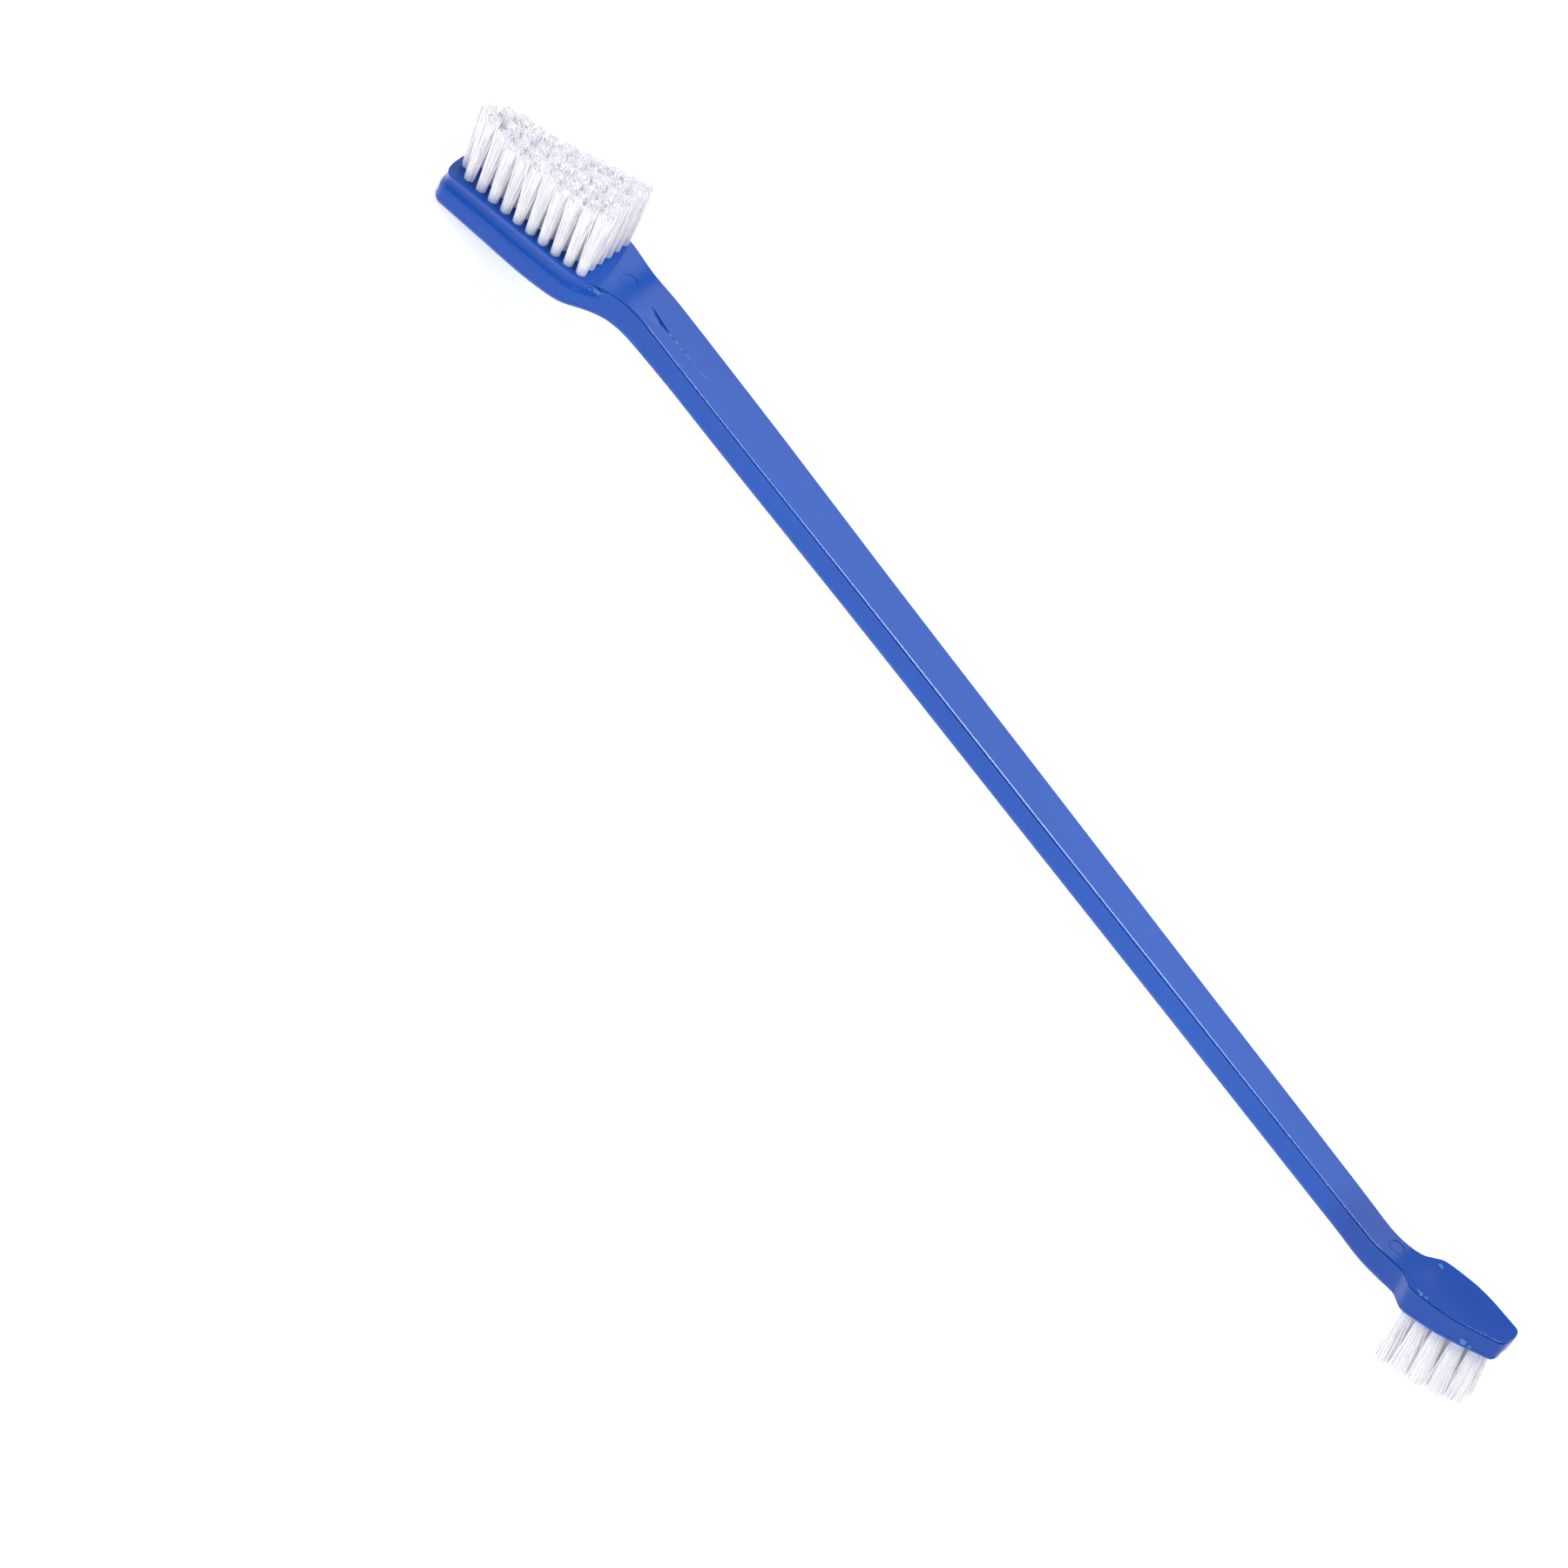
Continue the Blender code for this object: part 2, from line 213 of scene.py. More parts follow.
class NodeGraph:
    """A Principled material whose textures read the object's own coordinates."""

    def __init__(self, name: str) -> None:
        """Starts a material with one Principled shader.

        Args:
            name: Name of the material.
        """
        self.material = bpy.data.materials.new(name)
        self.material.use_nodes = True
        self._nodes = self.material.node_tree.nodes
        self._links = self.material.node_tree.links
        self.shader = self._nodes["Principled BSDF"]
        self._place = self._nodes.new("ShaderNodeTexCoord").outputs["Object"]

    def constants(self, values: dict[str, float | tuple[float, ...]]) -> None:
        """Sets sockets of the shader.

        Args:
            values: Value of every socket by its name.
        """
        for name, value in values.items():
            self.shader.inputs[name].default_value = value

    def noise(
        self, scale: float, detail: float, stretch: tuple[float, float, float] = (1.0, 1.0, 1.0)
    ) -> Socket:
        """Adds a noise texture.

        Args:
            scale: Cells per metre.
            detail: Octaves.
            stretch: Factor on each coordinate.

        Returns:
            The socket of the noise value.
        """
        mapping = self._nodes.new("ShaderNodeMapping")
        mapping.inputs["Scale"].default_value = stretch
        texture = self._nodes.new("ShaderNodeTexNoise")
        texture.inputs["Scale"].default_value = scale
        texture.inputs["Detail"].default_value = detail
        self._links.new(self._place, mapping.inputs["Vector"])
        self._links.new(mapping.outputs["Vector"], texture.inputs["Vector"])
        return texture.outputs["Fac"]

    def ramp_colour(
        self, source: Socket, low: tuple[float, ...], high: tuple[float, ...]
    ) -> Socket:
        """Colour that runs from one value to another.

        Args:
            source: Socket that drives the colour.
            low: Linear colour at the low end.
            high: Linear colour at the high end.

        Returns:
            The socket of the colour.
        """
        ramp = self._nodes.new("ShaderNodeValToRGB")
        for element, place, colour in zip(ramp.color_ramp.elements, (0.35, 0.6), (low, high)):
            element.position = place
            element.color = (*colour, 1.0)
        self._links.new(source, ramp.inputs["Fac"])
        return ramp.outputs["Color"]

    def fade(
        self,
        point: Vector,
        out: Vector,
        span: Span,
        low: tuple[float, ...],
        high: Socket,
    ) -> Socket:
        """Fades from a colour at a plane into another away from it.

        Args:
            point: A point of the plane.
            out: Normal of the plane.
            span: Distances from the plane between which the colour fades.
            low: Factor on the colour at the plane.
            high: Socket of the colour away from it.

        Returns:
            The socket of the faded colour.
        """
        height = self._nodes.new("ShaderNodeVectorMath")
        height.operation = "DOT_PRODUCT"
        height.inputs[1].default_value = out
        reach = self._nodes.new("ShaderNodeMapRange")
        reach.interpolation_type = "SMOOTHSTEP"
        reach.inputs["From Min"].default_value = point.dot(out) + span[0]
        reach.inputs["From Max"].default_value = point.dot(out) + span[1]
        tint = self._nodes.new("ShaderNodeMix")
        tint.data_type, tint.blend_type = "RGBA", "MULTIPLY"
        tint.inputs["Factor"].default_value = 1.0
        mix = self._nodes.new("ShaderNodeMix")
        mix.data_type = "RGBA"
        first, second = (
            [socket for socket in node.inputs if socket.type == "RGBA"] for node in (tint, mix)
        )
        tinted, mixed = (
            [socket for socket in node.outputs if socket.type == "RGBA"][0] for node in (tint, mix)
        )
        first[1].default_value = (*low, 1.0)
        self._links.new(high, first[0])
        self._links.new(self._place, height.inputs[0])
        self._links.new(height.outputs["Value"], reach.inputs["Value"])
        self._links.new(reach.outputs["Result"], mix.inputs["Factor"])
        self._links.new(tinted, second[0])
        self._links.new(high, second[1])
        return mixed

    def colour(self, source: Socket) -> None:
        """Gives the shader its colour.

        Args:
            source: Socket of the colour.
        """
        self._links.new(source, self.shader.inputs["Base Color"])

    def ramp_value(
        self,
        source: Socket,
        limits: Span,
        target: Socket,
    ) -> None:
        """Maps a texture onto a range of values.

        Args:
            source: Socket that drives the value.
            limits: Values for a source of 0.35 and 0.65.
            target: Socket that takes the value.
        """
        span = self._nodes.new("ShaderNodeMapRange")
        span.inputs["From Min"].default_value = 0.35
        span.inputs["From Max"].default_value = 0.65
        span.inputs["To Min"].default_value = limits[0]
        span.inputs["To Max"].default_value = limits[1]
        self._links.new(source, span.inputs["Value"])
        self._links.new(span.outputs["Result"], target)

    def bump(
        self,
        source: Socket,
        distance: float,
        strength: float,
        below: Socket | None = None,
        into: bpy.types.Node | None = None,
    ) -> Socket:
        """Adds a bump layer.

        Args:
            source: Socket of the height.
            distance: Height in metres of a value of 1.
            strength: Share of the bump that is kept.
            below: Normal that this layer stands on.
            into: Shader that takes the normal.

        Returns:
            The socket of the bumped normal.
        """
        layer = self._nodes.new("ShaderNodeBump")
        layer.inputs["Distance"].default_value = distance
        layer.inputs["Strength"].default_value = strength
        self._links.new(source, layer.inputs["Height"])
        if below is not None:
            self._links.new(below, layer.inputs["Normal"])
        if into is not None:
            self._links.new(layer.outputs["Normal"], into.inputs["Normal"])
        return layer.outputs["Normal"]


# --------------------------------------------------------------------------- shape of the brush
@dataclass(frozen=True)
class BrushShape:
    """Driving dimensions of the moulding, in millimetres and radians."""

    large_tilt: float = math.radians(22.5)
    small_tilt: float = math.radians(18.5)
    large_tip: float = -116.4
    small_tip: float = 99.8
    large_bend: float = -87.9
    large_bend_run: float = 13.0
    small_bend: float = 79.2
    small_bend_run: float = 6.0
    large_tip_run: float = 1.7
    small_tip_run: float = 1.75
    back_edge: float = 1.05
    back_taper: float = 0.3
    back_run: Span = (78.0, 86.0)
    flare: float = 0.45
    rake: float = 0.75
    rake_run: Span = (1.0, 4.0)
    large_neck: Span = (-97.0, -84.0)
    small_neck: Span = (80.0, 86.0)
    widths: Curve = (
        (-115.0, 4.05), (-112.0, 4.45), (-108.0, 5.0), (-103.5, 5.7), (-99.0, 6.4), (-95.6, 6.92),
        (-94.2, 7.0), (-92.8, 6.75), (-91.0, 5.95), (-89.0, 5.1), (-87.0, 4.5), (-84.5, 4.25),
        (-81.0, 4.22), (-76.0, 4.22), (-61.5, 4.12), (-48.0, 3.88), (-33.0, 3.62), (0.0, 3.32),
        (30.0, 3.0), (62.0, 2.7), (72.0, 2.58), (78.0, 2.42), (81.0, 2.42), (83.2, 2.75),
        (84.4, 3.7), (85.4, 4.5), (86.8, 4.75), (89.5, 4.75), (91.6, 4.58), (94.0, 4.05),
        (96.5, 3.25), (98.5, 2.6),
    )
    depths: Curve = (
        (-114.5, 5.15), (-108.0, 5.55), (-101.0, 5.85), (-96.5, 5.65), (-92.0, 5.15), (-86.0, 4.95),
        (-79.0, 4.6), (-72.0, 4.4), (72.0, 4.4), (79.0, 4.7), (84.0, 4.75),
        (88.0, 4.45), (93.0, 4.1), (99.0, 3.85),
    )


def join_rings(made: bmesh.types.BMesh, rings: list[list[bmesh.types.BMVert]]) -> None:
    """Joins rings of vertices into a tube.

    Args:
        made: Mesh that holds the vertices.
        rings: Rings of the same length, in order.
    """
    count = len(rings[0])
    for first, second in zip(rings, rings[1:]):
        for i in range(count):
            j = (i + 1) % count
            made.faces.new((first[i], first[j], second[j], second[i]))


def close_mesh(made: bmesh.types.BMesh, name: str) -> bpy.types.Mesh:
    """Turns a closed working mesh into a mesh with its faces outwards.

    Args:
        made: The working mesh, which is freed.
        name: Name of the mesh.

    Returns:
        The mesh.
    """
    bmesh.ops.recalc_face_normals(made, faces=made.faces)
    mesh = bpy.data.meshes.new(name)
    made.to_mesh(mesh)
    made.free()
    return mesh


def add_object(name: str, data: bpy.types.ID) -> bpy.types.Object:
    """Adds an object to the scene.

    Args:
        name: Name of the object.
        data: Its mesh, camera or light.

    Returns:
        The object.
    """
    added = bpy.data.objects.new(name, data)
    bpy.context.scene.collection.objects.link(added)
    return added


def smooth_between(value: float, low: float, high: float) -> float:
    """Smooth step.

    Args:
        value: Where to read the step.
        low: Value at which it leaves 0.
        high: Value at which it reaches 1.

    Returns:
        The height of the step.
    """
    t = min(1.0, max(0.0, (value - low) / (high - low)))
    return t * t * (3 - 2 * t)


def through(points: Curve, x: float) -> float:
    """Reads a smooth curve through points, level beyond the last ones.

    Args:
        points: Pairs of position and value.
        x: Where to read the curve.

    Returns:
        The value at x.
    """
    if x <= points[0][0]:
        return points[0][1]
    for i in range(len(points) - 1):
        (x0, y0), (x1, y1) = points[i], points[i + 1]
        if x > x1:
            continue
        a, b = points[max(0, i - 1)], points[min(len(points) - 1, i + 2)]
        m0, m1 = (y1 - a[1]) / (x1 - a[0]), (b[1] - y0) / (b[0] - x0)
        run, t = x1 - x0, (x - x0) / (x1 - x0)
        return (
            (2 * t**3 - 3 * t**2 + 1) * y0 + (t**3 - 2 * t**2 + t) * run * m0
            + (-2 * t**3 + 3 * t**2) * y1 + (t**3 - t**2) * run * m1
        )
    return points[-1][1]


class CentreLine:
    """The bent line along the middle of the upper face."""

    def __init__(self, shape: BrushShape) -> None:
        """Keeps the dimensions.

        Args:
            shape: Dimensions of the moulding.
        """
        self.shape = shape

    def height(self, x: float) -> float:
        """Height of the upper face.

        Args:
            x: Position along the handle.

        Returns:
            Height above the straight part of the handle.
        """
        s = self.shape
        large_end = s.large_bend + s.large_bend_run / 2
        small_start = s.small_bend - s.small_bend_run / 2
        if x < large_end:
            inside = min(s.large_bend_run, large_end - x)
            beyond = max(0.0, large_end - x - s.large_bend_run)
            return -math.tan(s.large_tilt) * (inside**2 / (2 * s.large_bend_run) + beyond)
        if x > small_start:
            inside = min(s.small_bend_run, x - small_start)
            beyond = max(0.0, x - small_start - s.small_bend_run)
            return math.tan(s.small_tilt) * (inside**2 / (2 * s.small_bend_run) + beyond)
        return 0.0

    def frame(self, x: float) -> tuple[Vector, Vector, Vector]:
        """Local frame on the upper face.

        Args:
            x: Position along the handle.

        Returns:
            The point, the direction along the face and the direction out of it.
        """
        s = self.shape
        large = 1 - min(1.0, max(0.0, (x - s.large_bend) / s.large_bend_run + 0.5))
        small = min(1.0, max(0.0, (x - s.small_bend) / s.small_bend_run + 0.5))
        slope = math.atan(math.tan(s.large_tilt) * large + math.tan(s.small_tilt) * small)
        along = Vector((math.cos(slope), 0.0, math.sin(slope)))
        out = Vector((-math.sin(slope), 0.0, math.cos(slope)))
        return Vector((x, 0.0, self.height(x))), along, out

    def tip(self, x: float) -> float:
        """Rounding within the end of a head.

        Args:
            x: Position along the handle.

        Returns:
            The share of the width left.
        """
        s = self.shape
        large = (s.large_tip + s.large_tip_run - x) / s.large_tip_run
        small = (x - s.small_tip + s.small_tip_run) / s.small_tip_run
        inward = min(1.0, max(0.0, large, small))
        return (1 - inward**2.6) ** (1 / 2.6)


# --------------------------------------------------------------------------- handle
@dataclass(frozen=True)
class EjectorMark:
    """Witness of an ejector pin: a shallow disc inside a fine raised ring.

    Attributes:
        x: Position along the handle.
        y: Position across it.
        length: Size along the handle.
        width: Size across it.
        sink: Depth of the disc.
    """

    x: float
    y: float
    length: float
    width: float
    sink: float = 0.05


class Face(Enum):
    """Face of the moulding that a flake stands on."""

    UPPER = "upper"
    NEAR_SIDE = "near side"


@dataclass(frozen=True)
class GateFlake:
    """One torn flake of the stub that the mould's gate leaves near an edge.

    Attributes:
        face: Face that it stands on.
        x: Position along the handle.
        place: Position across the upper face, or distance below it on the side.
        length: Long side of the flake.
        width: Short side of the flake.
        height: How far it stands off the face.
        angle: Turn of the flake in the face, in degrees.
    """

    face: Face
    x: float
    place: float
    length: float
    width: float
    height: float
    angle: float


@dataclass(frozen=True)
class SinkSection:
    """One section across the sink mark behind the large head.

    Attributes:
        x: Position along the handle.
        near: Position across of its near wall.
        far: Position across of its far wall.
        depths: Depth at the near wall, the middle and the far wall.
        skew: How far along the handle the near wall lags behind the far one.
    """

    x: float
    near: float
    far: float
    depths: tuple[float, float, float]
    skew: float = 0.0


@dataclass(frozen=True)
class HandleDetail:
    """Fine detail of the moulding, in millimetres.

    Attributes:
        bevel: Width of the flat of the bevel along the upper edge.
        bevel_lean: Angle of the bevel above the side, in degrees.
        bevel_top: Rounding above the flat.
        bevel_side: Rounding below the flat.
        bevel_ends: Share of the bevel that is left towards the heads.
        bevel_in: Positions between which the bevel widens.
        bevel_out: Positions between which it narrows again.
        rim: Width of the face strip beside each edge.
        groove: Depth of the groove below the bevel.
        groove_width: Unit of the groove's heights.
        groove_form: Height, in that unit, and share of the depth of its points.
        flash: Most that the flash at the back edge stands out.
        flash_middle: Share of it along the middle of the handle.
        flash_form: Share of the flash and height above the rounding of its points.
        flare_run: Shares of the side between which the large head flares.
        side_share: Share of the side above the flash.
        dish: Depth of the hollow in the upper face of the small head.
        dish_in: Positions between which the hollow deepens.
        dish_out: Positions between which it runs out.
        cove: Depth of the cove below the bristle plate.
        cove_in: Shares of the side between which the cove deepens.
        cove_out: Shares of the side between which it runs out.
        clear: How far the cutter of a disc stands above the upper face.
        sink_clear: How far the cutter of the sink mark does.
    """

    corner_steps: int = 3
    edge_steps: int = 5
    side_steps: int = 12
    back_steps: int = 12
    tip_steps: int = 20
    top_columns: int = 5
    bevel: float = 0.16
    bevel_lean: float = 62.0
    bevel_top: float = 0.08
    bevel_side: float = 0.04
    bevel_ends: float = 0.45
    bevel_in: Span = (-62.0, -12.0)
    bevel_out: Span = (30.0, 66.0)
    rim: float = 0.15
    groove: float = 0.2
    groove_width: float = 0.17
    groove_form: Curve = ((2 / 7, 0.0), (0.5, 1.0), (9 / 7, 1.0), (1.5, 0.0), (16 / 7, 0.0))
    flash: float = 0.07
    flash_middle: float = 0.2
    flash_form: Curve = ((0.25, 0.12), (1.0, 0.03))
    flare_run: Span = (0.25, 0.62)
    side_share: float = 0.94
    dish: float = 0.12
    dish_in: Span = (82.5, 88.0)
    dish_out: Span = (92.0, 98.0)
    cove: float = 0.2
    cove_in: Span = (0.0, 0.2)
    cove_out: Span = (0.25, 0.55)
    clear: float = 0.4
    sink_clear: float = 0.5
    hole_radius: float = 0.82
    hole_depth: float = 2.6
    hole_sides: int = 28
    disc_sides: int = 48
    ring_radius: float = 0.07
    ejectors: tuple[EjectorMark, ...] = (
        EjectorMark(-88.5, -0.3, 2.6, 2.6),
        EjectorMark(80.1, 0.35, 2.3, 2.3),
    )
    flakes: tuple[GateFlake, ...] = (
        GateFlake(Face.NEAR_SIDE, -90.55, 0.62, 1.5, 0.3, 0.17, -4.0),
        GateFlake(Face.NEAR_SIDE, -90.35, 0.98, 1.15, 0.34, 0.2, 5.0),
        GateFlake(Face.NEAR_SIDE, -91.2, 1.02, 0.35, 0.25, 0.12, 30.0),
        GateFlake(Face.NEAR_SIDE, -89.6, 0.8, 0.3, 0.3, 0.1, -20.0),
        GateFlake(Face.UPPER, 85.9, 2.95, 1.15, 0.5, 0.1, -38.0),
        GateFlake(Face.UPPER, 86.75, -4.35, 0.85, 0.35, 0.13, -22.0),
        GateFlake(Face.UPPER, 87.25, -4.55, 0.5, 0.55, 0.17, 10.0),
        GateFlake(Face.UPPER, 88.05, -4.55, 0.65, 0.28, 0.12, 14.0),
        GateFlake(Face.NEAR_SIDE, 94.9, 2.7, 1.25, 0.8, 0.17, 12.0),
        GateFlake(Face.NEAR_SIDE, 95.95, 3.0, 0.55, 0.4, 0.13, -20.0),
    )
    sink: tuple[SinkSection, ...] = (
        SinkSection(-83.9, -3.9, -0.75, (0.02, 0.02, 0.02), 1.4),
        SinkSection(-82.6, -3.1, -0.9, (0.05, 0.12, 0.22), 0.7),
        SinkSection(-81.1, -2.3, -1.15, (0.08, 0.24, 0.3), 0.2),
        SinkSection(-79.9, -1.62, -1.36, (0.12, 0.2, 0.14), 0.0),
    )
    crease_end: Span = (-69.8, -1.1)
    crease_steps: int = 22


class Handle:
    """The one-piece moulding with its blind tuft holes and mould marks."""

    def __init__(self, line: CentreLine, detail: HandleDetail) -> None:
        """Keeps the dimensions and works out where the moulding stands.

        Args:
            line: Centre line of the brush.
            detail: Fine detail of the moulding.
        """
        self.line = line
        self.detail = detail
        self.shift = Vector((0.0, 0.0, 0.0))

    def _profile(self, x: float) -> list[Span]:
        """Side of one section, from the upper face round to the back.

        Args:
            x: Position along the handle.

        Returns:
            Pairs of distance outside the outline and height above the upper face.
        """
        s, d = self.line.shape, self.detail
        head = 1 - smooth_between(x, *s.large_neck)
        ends = head + smooth_between(x, *s.small_neck)
        flare = s.flare * head
        radius, back = self._back_round(x), -through(s.depths, x)
        cut = d.groove * (1 - head)
        middle = smooth_between(x, *d.bevel_in) * (1 - smooth_between(x, *d.bevel_out))
        side = self._top_edge(d.bevel_ends + (1 - d.bevel_ends) * middle)
        low = side[-1][1]
        span = low - (back + radius)
        for drop, inset in d.groove_form:
            drop *= d.groove_width
            side.append((-cut * inset - self._cove(drop / span, head), low - drop))
        start = (low - side[-1][1]) / span
        for i in range(1, d.side_steps + 1):
            down = start + (d.side_share - start) * i / d.side_steps
            grow = flare * smooth_between(down, *d.flare_run)
            side.append((grow - self._cove(down, head), low - span * down))
        ragged = 0.55 + 0.9 * abs(noise.noise(Vector((x * 0.9, 3.7, 0.0))))
        lip = d.flash * ragged * (d.flash_middle + (1 - d.flash_middle) * ends)
        for share, height in d.flash_form:
            side.append((flare + lip * share, back + radius + height))
        for i in range(d.back_steps + 1):
            a = math.pi / 2 * i / d.back_steps
            side.append((
                flare - radius + radius * math.cos(a), back + radius - radius * math.sin(a)
            ))
        side.append((side[-1][0] - d.rim, back))
        return side

    def _dish(self, x: float, share: float) -> float:
        """Hollow of the upper face of the small head.

        Args:
            x: Position along the handle.
            share: Share of the way from the middle to the edge.

        Returns:
            Depth of the hollow.
        """
        d = self.detail
        run = smooth_between(x, *d.dish_in) * (1 - smooth_between(x, *d.dish_out))
        return d.dish * run * (1 - share**2) ** 2

    def _outline(self) -> list[tuple[float, float, float, float]]:
        """Outline of the upper face.

        Returns:
            For every section its position, its half width and the direction out of the
            outline, along and across the handle.
        """
        s = self.line.shape
        places = [(x, through(s.widths, x) * self.line.tip(x)) for x in self._stations()]
        mirrored = [(x, -wide) for x, wide in places]
        closed = [mirrored[1], *places, mirrored[-2]]
        found = []
        for before, (x, wide), after in zip(closed, places, closed[2:]):
            along, across = after[0] - before[0], after[1] - before[1]
            size = math.hypot(along, across)
            found.append((x, wide, -across / size, along / size))
        return found

    def _back_round(self, x: float) -> float:
        """Rounding of the back edges.

        Args:
            x: Position along the handle.

        Returns:
            The radius there.
        """
        s = self.line.shape
        return s.back_edge - s.back_taper * smooth_between(x, *s.back_run)

    def _top_edge(self, scale: float) -> list[Span]:
        """Narrow bevel along the upper edge, with rounded corners.

        Args:
            scale: Factor on the size of the bevel.

        Returns:
            Pairs of distance outside the outline and height, from the upper face down.
        """
        d = self.detail
        lean = math.radians(d.bevel_lean)
        upper, lower, flat = d.bevel_top * scale, d.bevel_side * scale, d.bevel * scale
        y = -upper * math.cos(lean) - flat * math.sin(lean) - lower * (1 - math.cos(lean))
        found = [(y - d.rim, 0.0)]
        for i in range(d.corner_steps + 1):
            a = math.pi / 2 + (lean - math.pi / 2) * i / d.corner_steps
            found.append((y + upper * math.cos(a), -upper * (1 - math.sin(a))))
        y, z = found[-1]
        y, z = y + flat * math.sin(lean), z - flat * math.cos(lean)
        for i in range(d.edge_steps + 1):
            a = lean * (1 - i / d.edge_steps)
            found.append((
                y + lower * (math.cos(a) - math.cos(lean)),
                z - lower * (math.sin(lean) - math.sin(a)),
            ))
        return found

    def _cove(self, down: float, head: float) -> float:
        """Hollow below the bristle plate.

        Args:
            down: Share of the way down the side.
            head: Share of the large head's own section.

        Returns:
            How far the side pulls in.
        """
        d = self.detail
        hollow = smooth_between(down, *d.cove_in) * (1 - smooth_between(down, *d.cove_out))
        return d.cove * head * hollow

    def _stations(self) -> list[float]:
        """Positions of the sections.

        Returns:
            Positions along the handle, close together where the outline turns.
        """
        s = self.line.shape
        large, small = s.large_tip + s.large_tip_run, s.small_tip - s.small_tip_run
        steps = self.detail.tip_steps
        turns = [math.sin(math.pi / 2 * i / steps) for i in range(1, steps + 1)]
        found = [large - s.large_tip_run * turn for turn in turns]
        bends = (large, s.large_neck[0], -78.0, 74.0, small)
        spans = zip(bends, bends[1:], (0.6, 0.3, 2.0, 0.3))
        for low, high, step in spans:
            count = round((high - low) / step)
            found += [low + (high - low) * i / count for i in range(count)]
        found.append(small)
        found += [small + s.small_tip_run * turn for turn in turns]
        return sorted(set(found))

    def _moulding(self) -> bpy.types.Mesh:
        """Lofts the solid moulding, in millimetres.

        Returns:
            The closed mesh.
        """
        made = bmesh.new()
        s, columns = self.line.shape, self.detail.top_columns
        rings = []
        for x, wide, ahead, aside in self._outline():
            point, along, out = self.line.frame(x)
            profile = self._profile(x)
            rake = max(0.0, math.copysign(1 - self.line.tip(x), x)) * s.rake
            edge, inner = max(0.0, wide + aside * profile[0][0]), profile[0][0]
            half = [
                (ahead * inner, edge * i / columns, -self._dish(x, i / columns))
                for i in range(columns)
            ]
            half += [
                (
                    ahead * off - rake * smooth_between(-z, *s.rake_run),
                    max(0.0, wide + aside * off),
                    z,
                )
                for off, z in profile
            ]
            half.append((half[-1][0], 0.0, half[-1][2]))
            ring = half + [(shift, -y, z) for shift, y, z in half[-2:0:-1]]
            rings.append([
                made.verts.new(point + Vector((0.0, y, 0.0)) + out * z + along * shift)
                for shift, y, z in ring
            ])
        join_rings(made, rings)
        bmesh.ops.remove_doubles(made, verts=made.verts, dist=1e-4)
        bmesh.ops.dissolve_degenerate(made, edges=made.edges, dist=1e-4)
        return close_mesh(made, "moulding")

    def _on_top(self, x: float, y: float, lift: float = 0.0) -> Vector:
        """Point on or above the upper face.

        Args:
            x: Position along the handle.
            y: Position across it.
            lift: Height above the face.

        Returns:
            The point.
        """
        point, _, out = self.line.frame(x)
        return point + Vector((0.0, y, 0.0)) + out * lift

    def _cutters(self, holes: list[tuple[Vector, Vector]]) -> bpy.types.Object:
        """Everything that is cut out of the moulding.

        Args:
            holes: Point on the bristle face and direction of every tuft.

        Returns:
            One object with a closed shape for every cut.
        """
        made = bmesh.new()
        d = self.detail
        for point, out in holes:
            depth = d.hole_depth + HOLE_CLEAR
            turn = out.to_track_quat("Z", "Y").to_matrix().to_4x4()
            place = Matrix.Translation(point + out * (HOLE_CLEAR - d.hole_depth) / 2) @ turn
            bmesh.ops.create_cone(
                made, cap_ends=True, segments=d.hole_sides, radius1=d.hole_radius,
                radius2=d.hole_radius, depth=depth, matrix=place,
            )
        for mark in d.ejectors:
            self._cut_disc(made, mark)
        self._cut_sink(made)
        return add_object("cuts", close_mesh(made, "cuts"))

    def _cut_disc(self, made: bmesh.types.BMesh, mark: EjectorMark) -> None:
        """Adds the cutter of an ejector pin's disc, which follows the upper face.

        Args:
            made: Mesh that takes the cutter.
            mark: Place and size of the disc.
        """
        steps, clear = self.detail.disc_sides, self.detail.clear
        floor, roof = [], []
        for i in range(steps):
            a = 2 * math.pi * i / steps
            x = mark.x + mark.length / 2 * math.cos(a)
            y = mark.y + mark.width / 2 * math.sin(a)
            floor.append(made.verts.new(self._on_top(x, y, -mark.sink)))
            roof.append(made.verts.new(self._on_top(x, y, clear)))
        low = made.verts.new(self._on_top(mark.x, mark.y, -mark.sink * 0.7))
        high = made.verts.new(self._on_top(mark.x, mark.y, clear))
        join_rings(made, [floor, roof])
        for i in range(steps):
            j = (i + 1) % steps
            made.faces.new((floor[j], floor[i], low))
            made.faces.new((roof[i], roof[j], high))

    def _sink_sections(self) -> list[SinkSection]:
        """Sections of the sink mark and of the ragged crease that runs out of it.

        Returns:
            The sections in order.
        """
        d = self.detail
        rng = random.Random(5)
        last = d.sink[-1]
        start = (last.near + last.far) / 2
        found = list(d.sink)
        for i in range(1, d.crease_steps + 1):
            t = i / d.crease_steps
            x = last.x + (d.crease_end[0] - last.x) * t
            y = start + (d.crease_end[1] - start) * t + rng.uniform(-0.05, 0.05)
            half = (0.11 - 0.075 * t) * rng.uniform(0.45, 1.3)
            deep = (0.15 - 0.1 * t) * rng.uniform(0.5, 1.2)
            found.append(SinkSection(x, y - half, y + half, (deep * 0.4, deep, deep * 0.6)))
        return found

